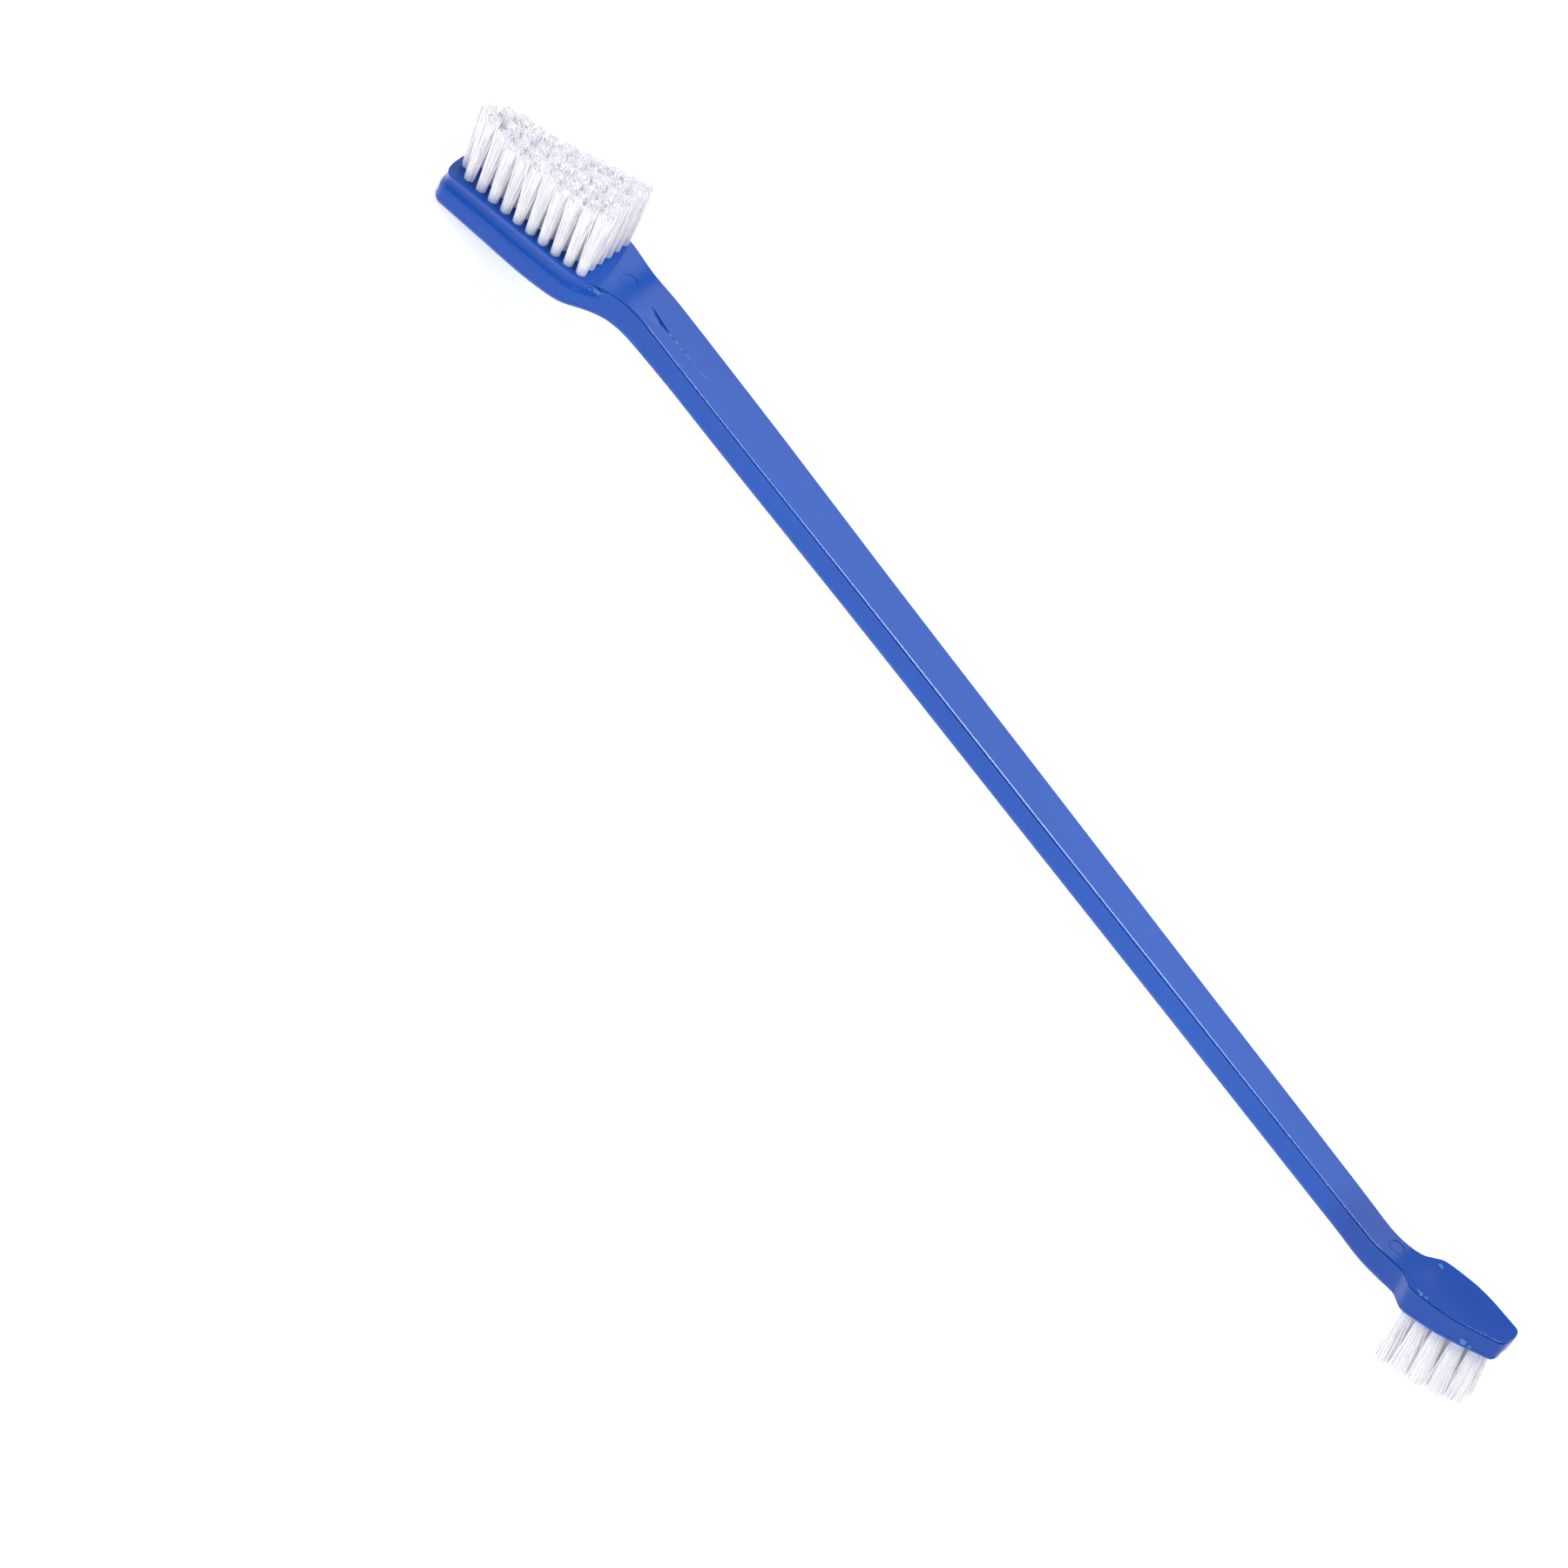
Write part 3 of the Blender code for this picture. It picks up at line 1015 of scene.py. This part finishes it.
    def _cut_sink(self, made: bmesh.types.BMesh) -> None:
        """Adds the cutter of the sink mark behind the large head.

        Args:
            made: Mesh that takes the cutter.
        """
        d = self.detail
        rows = []
        for section in self._sink_sections():
            places = []
            for i, depth in enumerate(section.depths):
                y = section.near + (section.far - section.near) * i / 2
                x = section.x - section.skew * (1 - i / 2)
                places.append((x, y, depth))
            floor = [made.verts.new(self._on_top(x, y, -depth)) for x, y, depth in places]
            roof = [made.verts.new(self._on_top(x, y, d.sink_clear)) for x, y, _ in places]
            rows.append(floor + roof[::-1])
        made.faces.new(rows[0])
        made.faces.new(rows[-1][::-1])
        join_rings(made, rows)

    def _ring(self, mark: EjectorMark) -> bpy.types.Mesh:
        """Fine raised ring round an ejector pin's disc.

        Args:
            mark: Place and size of the disc.

        Returns:
            The closed mesh.
        """
        made = bmesh.new()
        steps, sides, r = 64, 8, self.detail.ring_radius
        rings = []
        for i in range(steps):
            a = 2 * math.pi * i / steps
            thick = r * (0.75 + 0.5 * noise.noise(Vector((a, mark.x, 0.0))))
            ring = []
            for k in range(sides):
                b = 2 * math.pi * k / sides
                grow = thick * math.cos(b)
                x = mark.x + (mark.length / 2 + grow) * math.cos(a)
                y = mark.y + (mark.width / 2 + grow) * math.sin(a)
                ring.append(made.verts.new(self._on_top(x, y, thick * math.sin(b) - 0.01)))
            rings.append(ring)
        join_rings(made, [*rings, rings[0]])
        return close_mesh(made, "ring")

    def _flake(self, flake: GateFlake, seed: int) -> bpy.types.Mesh:
        """A torn flake of plastic at a gate.

        Args:
            flake: Place and size of the flake.
            seed: Seed of its roughness.

        Returns:
            The closed mesh.
        """
        made = bmesh.new()
        bmesh.ops.create_icosphere(made, subdivisions=4, radius=1.0)
        rng = random.Random(seed)
        origin = Vector([rng.uniform(0, 50) for _ in range(3)])
        size = Vector((flake.length / 2, flake.width / 2, flake.height))
        for vertex in made.verts:
            rough = 0.5 * noise.noise(vertex.co * 1.9 + origin)
            rough += 0.3 * noise.noise(vertex.co * 4.5 + origin)
            vertex.co = Vector(a * b for a, b in zip(vertex.co * (1 + rough), size))
        point, along, out = self.line.frame(flake.x)
        near = Vector((0.0, -1.0, 0.0))
        if flake.face is Face.UPPER:
            place = self._on_top(flake.x, flake.place)
            axes = Matrix((along, -near, out)).transposed().to_4x4()
        else:
            place = point - out * flake.place + near * through(self.line.shape.widths, flake.x)
            axes = Matrix((along, out, near)).transposed().to_4x4()
        turn = Matrix.Rotation(math.radians(flake.angle), 4, "Z")
        made.transform(Matrix.Translation(place) @ axes @ turn)
        for face in made.faces:
            face.material_index = 1
        return close_mesh(made, "flake")

    def build(
        self,
        holes: list[tuple[Vector, Vector]],
        finish: bpy.types.Material,
        torn: bpy.types.Material,
    ) -> bpy.types.Object:
        """Builds the moulding in the frame.

        Args:
            holes: Point on the bristle face and direction of every tuft, in the frame.
            finish: Material of the moulding.
            torn: Material of the torn flakes at the gates, in a lighter blue that is painted
                highlight.

        Returns:
            The finished piece.
        """
        mesh = self._moulding()
        corners = np.array([v.co for v in mesh.vertices])
        middle = Vector((corners.min(0) + corners.max(0)) / 2)
        low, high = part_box("handle")
        self.shift = (low + high) / 2 - middle * MM
        piece = add_object("handle_moulding", mesh)
        local = [((point - self.shift) / MM, out) for point, out in holes]
        cutter = self._cutters(local)
        cut = piece.modifiers.new("cuts", "BOOLEAN")
        cut.operation = "DIFFERENCE"
        cut.solver = "EXACT"
        cut.object = cutter
        bpy.context.view_layer.update()
        graph = bpy.context.evaluated_depsgraph_get()
        solid = bpy.data.meshes.new_from_object(piece.evaluated_get(graph))
        bpy.data.objects.remove(piece)
        bpy.data.objects.remove(cutter)
        whole = bmesh.new()
        whole.from_mesh(solid)
        for mark in self.detail.ejectors:
            whole.from_mesh(self._ring(mark))
        for seed, flake in enumerate(self.detail.flakes):
            whole.from_mesh(self._flake(flake, seed + 11))
        whole.transform(Matrix.Translation(self.shift) @ Matrix.Scale(MM, 4))
        final = bpy.data.meshes.new("handle_moulding")
        whole.to_mesh(final)
        whole.free()
        final.shade_smooth()
        final.set_sharp_from_angle(angle=math.radians(32))
        final.materials.append(finish)
        final.materials.append(torn)
        piece = add_object("handle_moulding", final)
        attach(piece, BODY)
        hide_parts("handle")
        return piece


# --------------------------------------------------------------------------- tufts
@dataclass(frozen=True)
class Bundle:
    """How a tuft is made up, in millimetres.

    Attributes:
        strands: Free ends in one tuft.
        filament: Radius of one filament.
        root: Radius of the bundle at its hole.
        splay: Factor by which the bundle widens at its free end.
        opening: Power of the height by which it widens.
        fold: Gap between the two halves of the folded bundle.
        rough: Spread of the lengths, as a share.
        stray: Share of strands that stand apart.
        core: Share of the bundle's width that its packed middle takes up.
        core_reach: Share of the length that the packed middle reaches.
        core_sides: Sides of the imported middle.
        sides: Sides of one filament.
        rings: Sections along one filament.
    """

    strands: int = 72
    filament: float = 0.086
    root: float = 0.68
    splay: float = 1.8
    opening: float = 1.15
    fold: float = 0.04
    rough: float = 0.02
    stray: float = 0.05
    sides: int = 5
    rings: int = 6
    core: float = 0.93
    core_reach: float = 0.94
    core_sides: int = 16


@dataclass
class Tuft:
    """One tuft, read from its CAD solid.

    Attributes:
        node: Name of the CAD node.
        mouth: Where it leaves its hole.
        out: Direction of the bristles.
        length: Free length in metres.
        depth: Length inside the hole in metres.
    """

    node: str
    mouth: Vector
    out: Vector
    length: float
    depth: float = field(default=2.35 * MM)

    @classmethod
    def read(cls, node: str, out: Vector) -> Tuft:
        """Reads a tuft from the frame.

        Args:
            node: Name of the CAD node.
            out: Direction of the bristles.

        Returns:
            The tuft.
        """
        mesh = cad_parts[node].data
        points = np.array([v.co for v in mesh.vertices])
        along = points @ np.array(out)
        bottom = points[along < along.min() + 0.05 * MM]
        root = Vector(bottom.min(0) + bottom.max(0)) / 2
        depth = 2.35 * MM
        return cls(node, root + out * depth, out, float(along.max() - along.min()) - depth)


class BristleField:
    """All tufts of one head."""

    def __init__(self, head: Head, bundle: Bundle, tilt: float) -> None:
        """Reads the tufts of a head.

        Args:
            head: Which head.
            bundle: How a tuft is made up.
            tilt: Slope of the head.
        """
        self.head = head
        self.bundle = bundle
        sign = 1.0 if head is Head.LARGE else -1.0
        out = Vector((-math.sin(tilt), 0.0, math.cos(tilt))) * sign
        names = sorted(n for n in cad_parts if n.startswith(head.value + "_tuft"))
        self.tufts = [Tuft.read(name, out) for name in names]

    def holes(self) -> list[tuple[Vector, Vector]]:
        """Where the holes stand.

        Returns:
            Point on the bristle face and direction of every tuft.
        """
        return [(tuft.mouth, tuft.out) for tuft in self.tufts]

    def _strand(
        self, tuft: Tuft, rng: random.Random, number: int, lean: Vector, turn: float
    ) -> np.ndarray:
        """Middle line of one strand.

        Args:
            tuft: The tuft it belongs to.
            rng: Source of its irregularity.
            number: Number of the strand.
            lean: Lean of the whole tuft at its free end.
            turn: Turn of the tuft about its own axis.

        Returns:
            Points from its root to its free end, in the tuft's own axes.
        """
        b = self.bundle
        reach = math.sqrt((number + 0.5) / b.strands)
        angle = number * 2.39996 + turn
        x, y = b.root * reach * math.cos(angle), b.root * reach * math.sin(angle)
        side = 1.0 if math.cos(angle - turn) > 0 else -1.0
        x += side * b.fold * math.cos(turn) + rng.gauss(0, 0.02)
        y += side * b.fold * math.sin(turn) + rng.gauss(0, 0.02)
        length = tuft.length / MM * (1 - abs(rng.gauss(0, b.rough)))
        stray = rng.random() < b.stray
        spread = b.splay - 1 + (rng.uniform(0.3, 0.9) if stray else rng.gauss(0, 0.13))
        bend = Vector((rng.gauss(0, 0.14), rng.gauss(0, 0.14), 0.0)) * (2.2 if stray else 1.0)
        points = [(x, y, -tuft.depth / MM)]
        for i in range(b.rings):
            t = i / (b.rings - 1)
            open_up = 1 + spread * t**b.opening
            wave = bend * t * t
            points.append((
                x * open_up + lean.x * t * t + wave.x,
                y * open_up + lean.y * t * t + wave.y,
                length * t,
            ))
        return np.array(points)

    def _core(self, tuft: Tuft, lean: Vector, turn: float) -> tuple[np.ndarray, np.ndarray]:
        """Packed middle of a tuft, which the outer strands hide.

        Args:
            tuft: The tuft.
            lean: Lean of the whole tuft at its free end.
            turn: Turn of the tuft about its own axis.

        Returns:
            Middle line and radius at each of its points.
        """
        b = self.bundle
        points, radii = [(0.0, 0.0, -tuft.depth / MM)], [b.root * b.core]
        reaches = [(b.core_reach * i / b.rings, 1.0) for i in range(b.rings + 1)]
        for t, share in (*reaches, (b.core_reach + 0.012, 0.85), (b.core_reach + 0.018, 0.5)):
            points.append((lean.x * t * t, lean.y * t * t, t * tuft.length / MM))
            radii.append(b.root * b.core * (1 + (b.splay - 1) * t**b.opening) * share)
        return np.array(points), np.array(radii)

    @staticmethod
    def _tube(
        line: np.ndarray, radii: np.ndarray, sides: int, rng: random.Random
    ) -> tuple[np.ndarray, list[tuple[int, ...]]]:
        """Closed tube along a line.

        Args:
            line: Middle line.
            radii: Radius at each of its points.
            sides: Sides of the tube.
            rng: Source of the cut's slant.

        Returns:
            Points and faces of the tube.
        """
        turn = rng.uniform(0, math.pi)
        angles = turn + np.arange(sides) * 2 * math.pi / sides
        ring = np.stack([np.cos(angles), np.sin(angles), np.zeros(sides)], 1)
        points = np.concatenate([ring * r + p for r, p in zip(radii, line)])
        points[-sides:, 2] += np.cos(angles - turn * 3) * radii[-1] * rng.uniform(0.0, 0.7)
        faces: list[tuple[int, ...]] = []
        for level in range(len(line) - 1):
            for i in range(sides):
                j = (i + 1) % sides
                a, c = level * sides, (level + 1) * sides
                faces.append((a + i, a + j, c + j, c + i))
        faces.append(tuple(reversed(range(sides))))
        faces.append(tuple(len(points) - sides + i for i in range(sides)))
        return points, faces

    def _build_tuft(self, tuft: Tuft, finish: bpy.types.Material) -> bpy.types.Object:
        """Builds one tuft from its strands.

        Args:
            tuft: The tuft.
            finish: Material of the filaments.

        Returns:
            The finished piece.
        """
        rng = random.Random(tuft.node)
        lean = Vector((rng.gauss(0, 0.16), rng.gauss(0, 0.16), 0.0))
        turn = rng.gauss(math.pi / 2, 0.35)
        points: list[np.ndarray] = []
        faces: list[tuple[int, ...]] = []
        count = 0
        b = self.bundle
        tubes = [self._tube(*self._core(tuft, lean, turn), b.core_sides, rng)]
        for number in range(b.strands):
            line = self._strand(tuft, rng, number, lean, turn)
            tubes.append(self._tube(line, np.full(len(line), b.filament), b.sides, rng))
        for tube, skin in tubes:
            faces += [tuple(i + count for i in face) for face in skin]
            points.append(tube)
            count += len(tube)
        across = Vector((0.0, 1.0, 0.0))
        turn_to = np.array([across.cross(tuft.out), across, tuft.out])
        placed = np.concatenate(points) * MM @ turn_to + np.array(tuft.mouth)
        mesh = bpy.data.meshes.new(tuft.node + "_strands")
        mesh.from_pydata(placed.tolist(), [], faces)
        mesh.shade_smooth()
        mesh.set_sharp_from_angle(angle=math.radians(75))
        mesh.materials.append(finish)
        piece = add_object(tuft.node + "_strands", mesh)
        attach(piece, BODY)
        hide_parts(tuft.node)
        return piece

    def build(self, finish: bpy.types.Material) -> list[bpy.types.Object]:
        """Builds every tuft of the head.

        Args:
            finish: Material of the filaments.

        Returns:
            The finished pieces.
        """
        return [self._build_tuft(tuft, finish) for tuft in self.tufts]


# --------------------------------------------------------------------------- studio
@dataclass(frozen=True)
class Softbox:
    """A square studio light.

    Attributes:
        name: Name of the light.
        azimuth: Direction it stands in, in degrees round from -Y towards +X.
        elevation: Its height above the floor, in degrees.
        distance: Distance from the brush in metres.
        size: Side in metres.
        power: Power in watts.
    """

    name: str
    azimuth: float
    elevation: float
    distance: float
    size: float
    power: float


@dataclass(frozen=True)
class StudioPlan:
    """Camera, floor and lights."""

    azimuth: float = 1.5
    elevation: float = 40.0
    roll: float = 52.0
    distance: float = 6.0
    view_width: float = 0.2143
    aside: float = -0.03403
    above: float = 0.00048
    world: float = 0.42
    boxes: tuple[Softbox, ...] = (
        Softbox("overhead", -11.0, 84.0, 1.0, 0.25, 7.0),
        Softbox("front", -8.0, 36.0, 1.4, 1.0, 5.8),
        Softbox("backdrop", 176.0, 38.0, 1.2, 0.85, 4.1),
        Softbox("accent", -148.0, 28.0, 1.2, 0.24, 0.32),
    )


class Studio:
    """Floor, lights and camera round the brush."""

    def __init__(self, plan: StudioPlan) -> None:
        """Keeps the plan.

        Args:
            plan: Camera, floor and lights.
        """
        self.plan = plan

    @staticmethod
    def _direction(azimuth: float, elevation: float) -> Vector:
        """Unit vector towards a place in the studio.

        Args:
            azimuth: Degrees round from -Y towards +X.
            elevation: Degrees above the floor.

        Returns:
            The direction.
        """
        a, e = math.radians(azimuth), math.radians(elevation)
        return Vector((math.sin(a) * math.cos(e), -math.cos(a) * math.cos(e), math.sin(e)))

    def camera(self, anchor: Vector) -> bpy.types.Object:
        """Adds the camera.

        Args:
            anchor: Middle of the handle's upper face.

        Returns:
            The camera.
        """
        p = self.plan
        back = self._direction(p.azimuth, p.elevation)
        along = (Vector((1.0, 0.0, 0.0)) - back * back.x).normalized()
        across = back.cross(along)
        roll = math.radians(p.roll)
        right = along * math.cos(roll) + across * math.sin(roll)
        up = across * math.cos(roll) - along * math.sin(roll)
        aim = anchor + right * p.aside + up * p.above
        data = bpy.data.cameras.new("camera")
        data.sensor_width = 36.0
        data.lens = 36.0 * p.distance / p.view_width
        data.clip_start, data.clip_end = 0.05, 50.0
        camera = add_object("camera", data)
        turn = Matrix((right, up, back)).transposed().to_4x4()
        camera.matrix_world = Matrix.Translation(aim + back * p.distance) @ turn
        bpy.context.scene.camera = camera
        return camera

    def floor(self, heel: Vector, toe: Vector, finish: bpy.types.Material) -> bpy.types.Object:
        """Adds a floor that both ends of the brush rest on.

        Args:
            heel: Lowest point under the large head.
            toe: Lowest point under the small head.
            finish: Material of the floor.

        Returns:
            The floor.
        """
        along = (toe - heel).normalized()
        up = along.cross(Vector((0.0, 1.0, 0.0))).normalized()
        up = up if up.z > 0 else -up
        mesh = bpy.data.meshes.new("floor")
        half = 12.0
        corners = [(-half, -half, 0), (half, -half, 0), (half, half, 0), (-half, half, 0)]
        mesh.from_pydata(corners, [], [(0, 1, 2, 3)])
        mesh.materials.append(finish)
        floor = add_object("floor", mesh)
        turn = Matrix((along, up.cross(along), up)).transposed().to_4x4()
        floor.matrix_world = Matrix.Translation(heel - up * 0.00005) @ turn
        return floor

    def lights(self, anchor: Vector) -> None:
        """Adds the softboxes and the surrounding light.

        Args:
            anchor: What the softboxes face.
        """
        for box in self.plan.boxes:
            data = bpy.data.lights.new(box.name, "AREA")
            data.shape, data.size, data.energy = "SQUARE", box.size, box.power
            light = add_object(box.name, data)
            towards = self._direction(box.azimuth, box.elevation)
            light.location = anchor + towards * box.distance
            light.rotation_euler = towards.to_track_quat("Z", "Y").to_euler()
        world = bpy.data.worlds.new("studio")
        world.use_nodes = True
        sky = world.node_tree.nodes["Background"]
        sky.inputs["Color"].default_value = (1.0, 1.0, 1.0, 1.0)
        sky.inputs["Strength"].default_value = self.plan.world
        bpy.context.scene.world = world
        bpy.context.scene.view_settings.view_transform = "Standard"


def lowest(pieces: list[bpy.types.Object]) -> Vector:
    """Lowest vertex of some pieces.

    Args:
        pieces: Objects whose meshes stand in the frame.

    Returns:
        The lowest point, moved to the middle plane of the brush.
    """
    points = np.concatenate([
        np.array([v.co for v in piece.data.vertices]) for piece in pieces
    ])
    point = points[points[:, 2].argmin()]
    return Vector((point[0], 0.0, point[2]))


def main() -> None:
    """Builds the brush and the studio in order."""
    logging.basicConfig(level=logging.INFO, format="%(name)s: %(message)s")
    shape = BrushShape()
    line = CentreLine(shape)
    large = BristleField(Head.LARGE, Bundle(), shape.large_tilt)
    dense = Bundle(strands=120, root=0.86, splay=1.85, opening=0.75)
    small = BristleField(Head.SMALL, dense, shape.small_tilt)
    handle = Handle(line, HandleDetail())
    moulding = handle.build(
        large.holes() + small.holes(),
        Polypropylene().build("polypropylene"),
        # The flakes' lighter blue is painted highlight on their torn edges.
        Polypropylene((0.02, 0.13, 0.5), (0.12, 0.30, 0.68)).build("torn_polypropylene_painted_highlight"),
    )
    LOG.info("%s: %d faces", moulding.name, len(moulding.data.polygons))
    nylon = Nylon()
    ends: dict[Head, list[bpy.types.Object]] = {}
    for bristles in (large, small):
        mouth, out = bristles.holes()[0]
        finish = nylon.build(bristles.head.value + "_nylon", mouth, out)
        ends[bristles.head] = bristles.build(finish)
        for piece in ends[bristles.head]:
            LOG.info("%s: %d faces", piece.name, len(piece.data.polygons))

    studio = Studio(StudioPlan())
    anchor = handle.shift
    studio.camera(anchor)
    studio.floor(lowest([moulding]), lowest(ends[Head.SMALL]), LightTable().build("light_table"))
    studio.lights(anchor)
    LOG.info("camera, floor and lights are in place")


if __name__ == "__main__":
    main()
